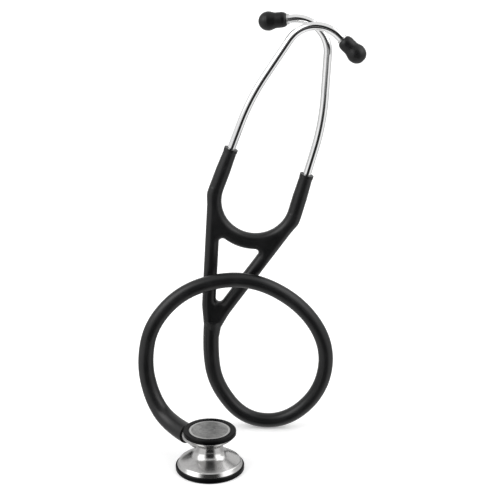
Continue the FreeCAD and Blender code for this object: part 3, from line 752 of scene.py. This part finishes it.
@dataclass
class Hose:
    """The thick hose: one smooth line from the yoke's tail to the stem."""

    radius: float = 0.00485
    length: float = 0.400
    end_swell: tuple[float, ...] = (1.03, 1.12, 1.24, 1.33)
    ring_detail: int = 10
    line_detail: int = 16
    start_swell: tuple[float, ...] = (1.08, 1.08, 1.04)
    points: tuple[tuple[float, float, float], ...] = (
        (0.0002, 0.0620, 0.0750),
        (-0.0013, 0.0620, 0.0540),
        (0.0030, 0.0615, 0.0290),
        (0.0220, 0.0600, 0.0052),
        (0.0500, 0.0585, 0.0045),
        (0.0730, 0.0560, 0.0280),
        (0.0770, 0.0535, 0.0620),
        (0.0580, 0.0510, 0.0930),
        (0.0240, 0.0480, 0.1120),
        (-0.0140, 0.0460, 0.1060),
        (-0.0382, 0.0445, 0.0820),
        (-0.0438, 0.0435, 0.0535),
        (-0.0385, 0.0420, 0.0285),
        (-0.0272, 0.0327, 0.0153),
        (-0.0148, 0.0178, 0.0153),
    )

    def build(self, material: bpy.types.Material) -> bpy.types.Object:
        """Args:
            material: its finish.

        Returns:
            The hose.
        """
        curve = bpy.data.curves.new("hose_line", "CURVE")
        curve.dimensions = "3D"
        curve.bevel_depth = self.radius
        curve.bevel_resolution = self.ring_detail
        curve.resolution_u = self.line_detail
        curve.use_fill_caps = True
        spline = curve.splines.new("NURBS")
        spline.points.add(len(self.points) - 1)
        for point, place in zip(spline.points, self.points):
            point.co = (*place, 1.0)
        for point, swell in zip(spline.points, self.start_swell):
            point.radius = swell
        for point, swell in zip(spline.points[-len(self.end_swell):], self.end_swell):
            point.radius = swell
        spline.order_u = 3
        spline.use_endpoint_u = True
        curve.materials.append(material)
        hose = bpy.data.objects.new("hose_line", curve)
        bpy.context.scene.collection.objects.link(hose)
        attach(hose, "headset_and_hose")
        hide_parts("hose")
        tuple(self.points[0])
        log.info("hose: %d points", len(self.points))
        return hose


# ---------------------------------------------------------------- the moulding


class Side(Enum):
    """The wearer's two ear tubes, as seen from the front."""

    LEFT = "left"
    RIGHT = "right"


@dataclass
class Moulding:
    """Yoke, shoulders and arms as the one soft moulding that they are.

    The arms' ends are found from their solids: end_depth and rim_depth say how far from the
    end a vertex still counts, and aims how often the direction is found again.
    """

    centre: Vector = field(default_factory=lambda: Vector((0.029, 0.062, 0.1582)))
    lean: float = math.radians(19.5)
    voxel: float = 0.00033
    smoothing: int = 6
    bend_below: float = 0.009
    bend_above: float = 0.010
    plug_reach: float = 0.0022
    fairing_foot: tuple[float, float, float] = (0.0009, 0.0620, 0.0610)
    fairing_height: float = 0.0150
    fairing_radii: Span = (0.0034, 0.0063)
    segments: int = 96
    end_depth: float = 0.0002
    rim_depth: float = 0.0015
    aims: int = 4
    sources: tuple[str, ...] = ("yoke", "leaf_spring", "left_shoulder", "right_shoulder",
                                "left_arm", "right_arm")

    @staticmethod
    def foot(side: Side) -> Vector:
        """Return the place of the joint at the foot of an arm."""
        return Vector(joint(f"{side.value}_spread")["pos_m"])

    @property
    def across(self) -> Vector:
        """Return the direction from the left arm to the right one."""
        return Vector((math.cos(self.lean), 0, -math.sin(self.lean)))

    def mouth(self, side: Side) -> tuple[Vector, Vector, float]:
        """Find the end of an arm.

        Args:
            side: which arm.

        Returns:
            The middle of its end, the way that it points, and its radius there.
        """
        foot = self.foot(side)
        corners = [v.co.copy() for v in frame["nodes"][f"{side.value}_arm"].data.vertices]
        low, high = (Vector(corner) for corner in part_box(f"{side.value}_arm"))
        along = ((low + high) / 2 - foot).normalized()
        for _ in range(self.aims):
            top = max((c - foot).dot(along) for c in corners)
            end = [c for c in corners if (c - foot).dot(along) > top - self.end_depth]
            middle = sum(end, Vector()) / len(end)
            along = (middle - foot).normalized()
        middle = foot + along * top
        near = [c - middle for c in corners if (c - middle).dot(along) > -self.rim_depth]
        radius = max((c - along * c.dot(along)).length for c in near)
        return middle, along, radius

    def joined_solids(self) -> bpy.types.Object:
        """Copy the moulding's solids into one object, plug its arms and fair its tail.

        Returns:
            The joined copy.
        """
        bm = bmesh.new()
        for node in self.sources:
            bm.from_mesh(frame["nodes"][node].data)
        bmesh.ops.remove_doubles(bm, verts=bm.verts, dist=WELD)
        for side in Side:
            middle, along, radius = self.mouth(side)
            turn = along.to_track_quat("Z", "Y").to_matrix().to_4x4()
            self.add_cone(bm, (radius, radius), 2 * self.plug_reach,
                          Matrix.Translation(middle) @ turn)
        foot = Vector(self.fairing_foot) + Vector((0, 0, self.fairing_height / 2))
        self.add_cone(bm, self.fairing_radii, self.fairing_height, Matrix.Translation(foot))
        return own_mesh("moulding_blank", bm, bpy.data.materials.new("blank"))

    def add_cone(self, bm: bmesh.types.BMesh, radii: Span, depth: float,
                 place: Matrix) -> None:
        """Add a closed cone to a mesh.

        Args:
            bm: the mesh.
            radii: at its foot and at its top.
            depth: from foot to top.
            place: where its middle goes.
        """
        bmesh.ops.create_cone(bm, cap_ends=True, segments=self.segments, radius1=radii[0],
                              radius2=radii[1], depth=depth, matrix=place)

    @staticmethod
    def trimmed(bm: bmesh.types.BMesh, place: Vector, cut_away: Vector) -> None:
        """Cut a mesh along a plane and close it with a crisp edge.

        Args:
            bm: the mesh.
            place: a point of the plane.
            cut_away: the side that goes.
        """
        cut = bmesh.ops.bisect_plane(
            bm, geom=bm.verts[:] + bm.edges[:] + bm.faces[:], dist=WELD,
            plane_co=place, plane_no=cut_away, clear_inner=False, clear_outer=True)
        rim = [e for e in cut["geom_cut"] if isinstance(e, bmesh.types.BMEdge)]
        for edge in rim:
            edge.smooth = False
        bmesh.ops.holes_fill(bm, edges=rim, sides=0)

    def halved(self, bm: bmesh.types.BMesh, side: Side) -> None:
        """Keep one side's half of a mesh.

        Args:
            bm: the mesh.
            side: the half that stays.
        """
        self.trimmed(bm, self.centre, self.across if side is Side.LEFT else -self.across)

    def build(self, material: bpy.types.Material) -> None:
        """Melt the solids together, soften the joins and split the two halves.

        Args:
            material: the moulding's finish.
        """
        blank = self.joined_solids()
        remesh = blank.modifiers.new("melt", "REMESH")
        remesh.mode = "VOXEL"
        remesh.voxel_size = self.voxel
        remesh.use_smooth_shade = True
        soften = blank.modifiers.new("soften", "SMOOTH")
        soften.factor = 0.5
        soften.iterations = self.smoothing
        applied(blank)
        for side in Side:
            bm = bmesh.new()
            bm.from_mesh(blank.data)
            self.halved(bm, side)
            middle, along, _ = self.mouth(side)
            self.trimmed(bm, middle, along)
            half = own_mesh(f"{side.value}_moulding", bm, material)
            self.hinge(half, side)
            if side is Side.LEFT:
                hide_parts("yoke", "left_shoulder", "left_arm")
            else:
                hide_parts("right_shoulder", "right_arm")
        bpy.data.objects.remove(blank)

    def spring(self, material: bpy.types.Material) -> None:
        """Show the moulded-in leaf spring as two halves.

        Args:
            material: its finish.
        """
        for side in Side:
            bm = bmesh.new()
            bm.from_mesh(frame["nodes"]["leaf_spring"].data)
            bmesh.ops.remove_doubles(bm, verts=bm.verts, dist=WELD)
            self.halved(bm, side)
            half = own_mesh(f"{side.value}_leaf", bm, material, False)
            self.hinge(half, side)
            if side is Side.LEFT:
                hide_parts("leaf_spring")

    def hinge(self, half: bpy.types.Object, side: Side) -> None:
        """Bake one half's place into its mesh and log its face count.

        Args:
            half: the half.
            side: which one it is.
        """
        foot = self.foot(side)
        up = self.mouth(side)[1]
        foot - up * self.bend_below
        foot + up * self.bend_above
        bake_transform(half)
        log.info("%s: %d faces", half.name, len(half.data.polygons))


# ---------------------------------------------------------------- eartips


@dataclass
class Eartip:
    """A soft eartip: a bulb that flows into a collar, ribbed inside where it grips."""

    side: Side
    length: float = 0.0180
    collar_radius: float = 0.00485
    collar_face: float = 0.0027
    collar_dome: float = 0.0036
    bulb_radius: float = 0.0059
    waist_round: float = 0.0026
    bore_radius: float = 0.00236
    bore_depth: float = 0.0082
    rib_height: float = 0.00010
    rib_pitch: float = 0.0016
    sound_radius: float = 0.0013
    rings: int = 120
    bore_rings: int = 41
    segments: int = 97

    def place(self) -> Matrix:
        """Stand the tip on its nipple, from its joint's axis and its solid's ends.

        Returns:
            The matrix from the tip's own axis, with its collar at 0, to the row's frame.
        """
        along = Vector(joint(f"{self.side.value}_eartip_pull")["axis"]).normalized()
        turn = along.to_track_quat("Z", "Y").to_matrix()
        corners = [turn.transposed() @ v.co
                   for v in frame["nodes"][f"{self.side.value}_eartip"].data.vertices]
        middle = [(min(c[i] for c in corners) + max(c[i] for c in corners)) / 2
                  for i in (0, 1)]
        start = Vector((*middle, min(c.z for c in corners)))
        return Matrix.Translation(turn @ start) @ turn.to_4x4()

    def build(self, material: bpy.types.Material) -> bpy.types.Object:
        """Turn the tip.

        Args:
            material: its finish.

        Returns:
            The eartip.
        """
        recipe = Recipe(f"{self.side.value}_soft_tip", {
            "Length": self.length, "Collar Radius": self.collar_radius,
            "Collar Face": self.collar_face, "Collar Dome": self.collar_dome,
            "Bulb Radius": self.bulb_radius, "Waist Round": self.waist_round,
            "Bore Radius": self.bore_radius, "Bore Depth": self.bore_depth,
            "Rib Height": self.rib_height, "Rib Pitch": self.rib_pitch,
            "Sound Radius": self.sound_radius, "Rings": self.rings,
            "Bore Rings": self.bore_rings, "Segments": self.segments})
        size = recipe.size
        bulb = size("Bulb Radius")
        hole = size("Sound Radius")
        centre = size("Length") - bulb
        tip = centre + (bulb * bulb - hole * hole).root()

        def skin(share: Signal) -> tuple[Signal, Signal]:
            """Return the radius and the height of the outside."""
            height = tip * (0.5 - (share * math.pi).cosine() * 0.5)
            short = (1.0 - height / size("Collar Dome")).greater(0.0, 0.0)
            dome = (1.0 - short * short).root()
            collar = (size("Collar Face")
                      + (size("Collar Radius") - size("Collar Face")) * dome)
            fade = (centre - height).over(0.0)
            reach = height - centre
            sphere = (bulb * bulb - reach * reach).root()
            blended = collar.greater(sphere, size("Waist Round"))
            return fade * blended + (1.0 - fade) * sphere, height

        def bore(share: Signal) -> tuple[Signal, Signal]:
            """Return the radius and the height of the inside, ribbed up to its step."""
            height = share * size("Bore Depth")
            wave = (height * FULL_TURN / size("Rib Pitch")).cosine()
            return size("Bore Radius") + size("Rib Height") * wave, height

        def face(share: Signal) -> tuple[Signal, Signal]:
            """Return the collar's flat end, from the bore out."""
            inner = size("Bore Radius") + size("Rib Height")
            return inner + (size("Collar Face") - inner) * share, share * 0.0

        def step(share: Signal) -> tuple[Signal, Signal]:
            """Return the bore's bottom, from the sound bore out."""
            wave = (size("Bore Depth") * FULL_TURN / size("Rib Pitch")).cosine()
            outer = size("Bore Radius") + size("Rib Height") * wave
            return hole + (outer - hole) * share, size("Bore Depth") + share * 0.0

        def sound(share: Signal) -> tuple[Signal, Signal]:
            """Return the sound bore."""
            return hole + share * 0.0, size("Bore Depth") + (tip - size("Bore Depth")) * share

        closed = recipe.turned(
            size("Segments"), (skin, size("Rings")), (bore, size("Bore Rings")),
            (face, STRAIGHT), (step, STRAIGHT), (sound, STRAIGHT))
        piece = recipe.made(closed, material, self.place())
        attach(piece, f"{self.side.value}_tip")
        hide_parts(f"{self.side.value}_eartip")
        return piece


# ---------------------------------------------------------------- the bare disc


@dataclass
class CoverDisc:
    """The bare metal disc on the small side: spun rings inside a raised border."""

    radius: float = 0.01285
    thickness: float = 0.0003
    border: float = 0.0013
    dish: float = 0.00010
    ring_pitch: float = 0.00065
    ring_depth: float = 0.000018
    edge: float = 0.00008
    border_slope: float = 0.0004
    rings: int = 240
    back_rings: int = 3
    segments: int = 129

    def build(self, material: bpy.types.Material) -> bpy.types.Object:
        """Spin the disc.

        Args:
            material: its finish.

        Returns:
            The disc.
        """
        recipe = Recipe("spun_disc", {
            "Radius": self.radius, "Thickness": self.thickness, "Border": self.border,
            "Dish": self.dish, "Ring Pitch": self.ring_pitch, "Ring Depth": self.ring_depth,
            "Edge": self.edge, "Border Slope": self.border_slope, "Rings": self.rings,
            "Back Rings": self.back_rings, "Segments": self.segments})
        size = recipe.size

        def top(share: Signal) -> tuple[Signal, Signal]:
            """Return the upper face: the spun dish, the border and the rounded edge."""
            radius = size("Radius") * share
            inside = size("Radius") - size("Border")
            dished = 1.0 - ((radius - inside) / size("Border Slope")).step(-0.5, 0.5)
            wave = (radius * FULL_TURN / size("Ring Pitch")).cosine() * 0.5 - 0.5
            over = (radius - (size("Radius") - size("Edge"))).greater(0.0, 0.0) / size("Edge")
            rim = size("Edge") * (1.0 - (1.0 - over * over).root())
            height = (size("Thickness") - dished * (size("Dish") - size("Ring Depth") * wave)
                      - rim)
            return radius, height

        def wall(share: Signal) -> tuple[Signal, Signal]:
            """Return the disc's edge."""
            return (size("Radius") + share * 0.0,
                    (size("Thickness") - size("Edge")) * (1.0 - share))

        def back(share: Signal) -> tuple[Signal, Signal]:
            """Return the flat back."""
            return size("Radius") * (1.0 - share), share * 0.0

        closed = recipe.turned(size("Segments"), (top, size("Rings")), (wall, STRAIGHT),
                               (back, size("Back Rings")))
        low, high = (Vector(corner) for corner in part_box("small_cover_disc"))
        middle = (low + high) / 2
        piece = recipe.made(closed, material,
                            Matrix.Translation((middle.x, middle.y, low.z)))
        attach(piece, "small_diaphragm")
        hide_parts("small_cover_disc")
        return piece


# ---------------------------------------------------------------- the dressed solids


@dataclass(frozen=True)
class EarTubes:
    """The bent metal tubes with their end fittings and soft eartips."""

    sides: tuple[Side, ...] = tuple(Side)

    def build(self, small_steel: bpy.types.Material) -> None:
        """Dress the tubes and fittings, and turn the eartips.

        Args:
            small_steel: the fittings' finish.
        """
        tube = PolishedTube().material()
        tip = SoftTip().material()
        for side in self.sides:
            Eartip(side).build(tip)
            dress(tube, f"{side.value}_ear_tube")
            dress(small_steel, f"{side.value}_tip_adapter")


@dataclass(frozen=True)
class Chestpiece:
    """The turning head on its stem, with its detent inside."""

    turned: tuple[str, ...] = ("chestpiece_body", "stem")
    moulded: tuple[str, ...] = ("large_rim", "small_rim", "stem_seal")
    diaphragms: tuple[str, ...] = ("large_diaphragm", "small_diaphragm")
    detent: tuple[str, ...] = ("detent_ball", "detent_spring", "detent_screw")

    def build(self, small_steel: bpy.types.Material) -> None:
        """Dress the head's solids and lay the bare disc on its small side.

        Args:
            small_steel: the detent's finish.
        """
        CoverDisc().build(BrushedDisc().material())
        dress(TurnedSteel().material(), *self.turned)
        dress(RimPlastic().material(), *self.moulded)
        dress(WovenResin().material(), *self.diaphragms)
        dress(small_steel, *self.detent)


# ---------------------------------------------------------------- studio


@dataclass(frozen=True)
class Lamp:
    """One large soft lamp."""

    name: str
    place: tuple[float, float, float]
    power: float
    size: float = 0.9
    target: tuple[float, float, float] = (0.02, 0.03, 0.12)

    def build(self) -> None:
        """Hang the lamp and turn it towards the object."""
        light = bpy.data.lights.new(self.name, "AREA")
        light.size = self.size
        light.energy = self.power
        lamp = bpy.data.objects.new(self.name, light)
        lamp.location = self.place
        toward = Vector(self.target) - Vector(self.place)
        lamp.rotation_euler = toward.to_track_quat("-Z", "Y").to_euler()
        bpy.context.scene.collection.objects.link(lamp)


@dataclass
class Studio:
    """A white tent with an open, darker front, a pale floor and the camera."""

    camera_place: tuple[float, float, float] = (0.0254, -0.8062, 0.4240)
    camera_drop: float = 19.0
    camera_near: float = 0.01
    view_angle: float = 20.0
    table: Colour = (0.92, 0.92, 0.92)
    cloth: Colour = (0.80, 0.80, 0.80)
    backdrop: Colour = (0.55, 0.55, 0.55)
    box: Colour = (2.2, 2.2, 2.2)
    dark_room: Colour = (0.015, 0.015, 0.015)
    edge: Colour = (0.40, 0.40, 0.40)
    backdrop_from: Span = (-0.10, 0.30)
    backdrop_foot: Span = (-0.85, -0.60)
    horizon: Span = (-0.10, 0.10)
    opening_sides: Span = (0.80, 0.90)
    opening_fade: float = 0.25
    opening_right: Span = (0.0, 0.10)
    opening_foot: Span = (-0.80, -0.66)
    opening_top: Span = (0.68, 0.84)
    edge_low: Span = (-0.14, -0.09)
    edge_high: Span = (-0.04, 0.01)
    box_reach: Span = (0.50, 0.62)
    box_foot: Span = (0.12, 0.22)
    box_top: Span = (0.74, 0.84)
    box_back: Span = (-0.20, 0.10)
    floor_radius: float = 3.0
    floor_colour: Colour = (0.93, 0.93, 0.93)
    floor_roughness: float = 0.9
    floor_lift: float = 0.30
    lamps: tuple[Lamp, ...] = (Lamp("left_lamp", (-0.9, -0.25, 0.9), 4.0),
                               Lamp("right_lamp", (0.95, 0.10, 1.0), 3.4))

    def camera(self) -> None:
        """Place the camera at a standing height, looking slightly down."""
        camera = bpy.data.objects.new("camera", bpy.data.cameras.new("camera"))
        camera.data.angle = math.radians(self.view_angle)
        camera.data.clip_start = self.camera_near
        camera.location = self.camera_place
        camera.rotation_euler = (math.radians(90 - self.camera_drop), 0, 0)
        bpy.context.scene.collection.objects.link(camera)
        bpy.context.scene.camera = camera

    def world(self) -> None:
        """Light from a pale tent with soft boxes, grey behind and dark where it opens."""
        world = bpy.data.worlds.new("tent")
        bpy.context.scene.world = world
        world.use_nodes = True
        tent = Graph(world.node_tree)
        x, y, z = tent.parts(tent.add("ShaderNodeTexCoord", {}, {}, "Generated"))
        level = (x * x + y * y).root()
        forward = -y / level
        low, high = self.opening_sides
        width = (high - low) + self.opening_fade * x.step(*self.opening_right)
        opening = (((forward - high) / width + 1.0).step(0.0, 1.0)
                   * z.step(*self.opening_foot) * (1.0 - z.step(*self.opening_top)))
        table_edge = z.step(*self.edge_low) * (1.0 - z.step(*self.edge_high))
        boxes = (abs(x).step(*self.box_reach) * z.step(*self.box_foot)
                 * (1.0 - z.step(*self.box_top)) * (1.0 - y.step(*self.box_back)))
        behind = (y.step(*self.backdrop_from) * z.step(*self.backdrop_foot)).clamped()
        below = tent.mixed(behind, self.table, self.backdrop)
        sky = tent.mixed(z.step(*self.horizon), below, self.cloth)
        lit = tent.mixed(boxes, sky, self.box)
        gap = tent.mixed(table_edge, self.dark_room, self.edge)
        seen = tent.mixed(opening, lit, gap)
        camera = tent.add("ShaderNodeLightPath", {}, {}, "Is Camera Ray")
        shown = tent.mixed(camera, seen, (1.0, 1.0, 1.0))
        tent.feed(tent.tree.nodes["Background"].inputs["Color"], shown)

    def floor(self) -> bpy.types.Object:
        """A pale floor that takes the object's shadow.

        Returns:
            The floor.
        """
        bm = bmesh.new()
        bmesh.ops.create_circle(bm, cap_ends=True, segments=64, radius=self.floor_radius)
        shader = Shader("floor")
        rays = shader.add("ShaderNodeLightPath", {}, {}, "Is Camera Ray")
        lift = shader.add("ShaderNodeEmission", {},
                          {"Color": (1, 1, 1), "Strength": self.floor_lift})
        dark = shader.add("ShaderNodeEmission", {}, {"Color": (0, 0, 0), "Strength": 0.0})
        shown = shader.add("ShaderNodeMixShader", {}, {0: rays, 1: dark, 2: lift})
        both = shader.add("ShaderNodeAddShader", {},
                          {0: Signal(shader, shader.surface.outputs[0]), 1: shown})
        shader.tree.links.new(both.socket, shader.output.inputs["Surface"])
        floor = own_mesh("floor", bm, shader.finish(
            Base_Color=self.floor_colour, Roughness=self.floor_roughness,
            Specular_IOR_Level=0.0), False)
        floor.visible_glossy = False
        return floor

    def build(self) -> None:
        """Set the colour handling, the camera, the light and the floor."""
        bpy.context.scene.view_settings.view_transform = "Standard"
        self.camera()
        self.world()
        self.floor()
        for lamp in self.lamps:
            lamp.build()


# ---------------------------------------------------------------- the whole object


def main() -> None:
    """Build every piece in order."""
    logging.basicConfig(level=logging.INFO, format="%(name)s %(message)s")
    Studio().build()
    moulding = SatinMoulding().material()
    small_steel = BrightSteel().material()
    Hose().build(moulding)
    yoke = Moulding()
    yoke.build(moulding)
    yoke.spring(small_steel)
    EarTubes().build(small_steel)
    Chestpiece().build(small_steel)
    bpy.context.view_layer.update()


if __name__ == "__main__":
    main()
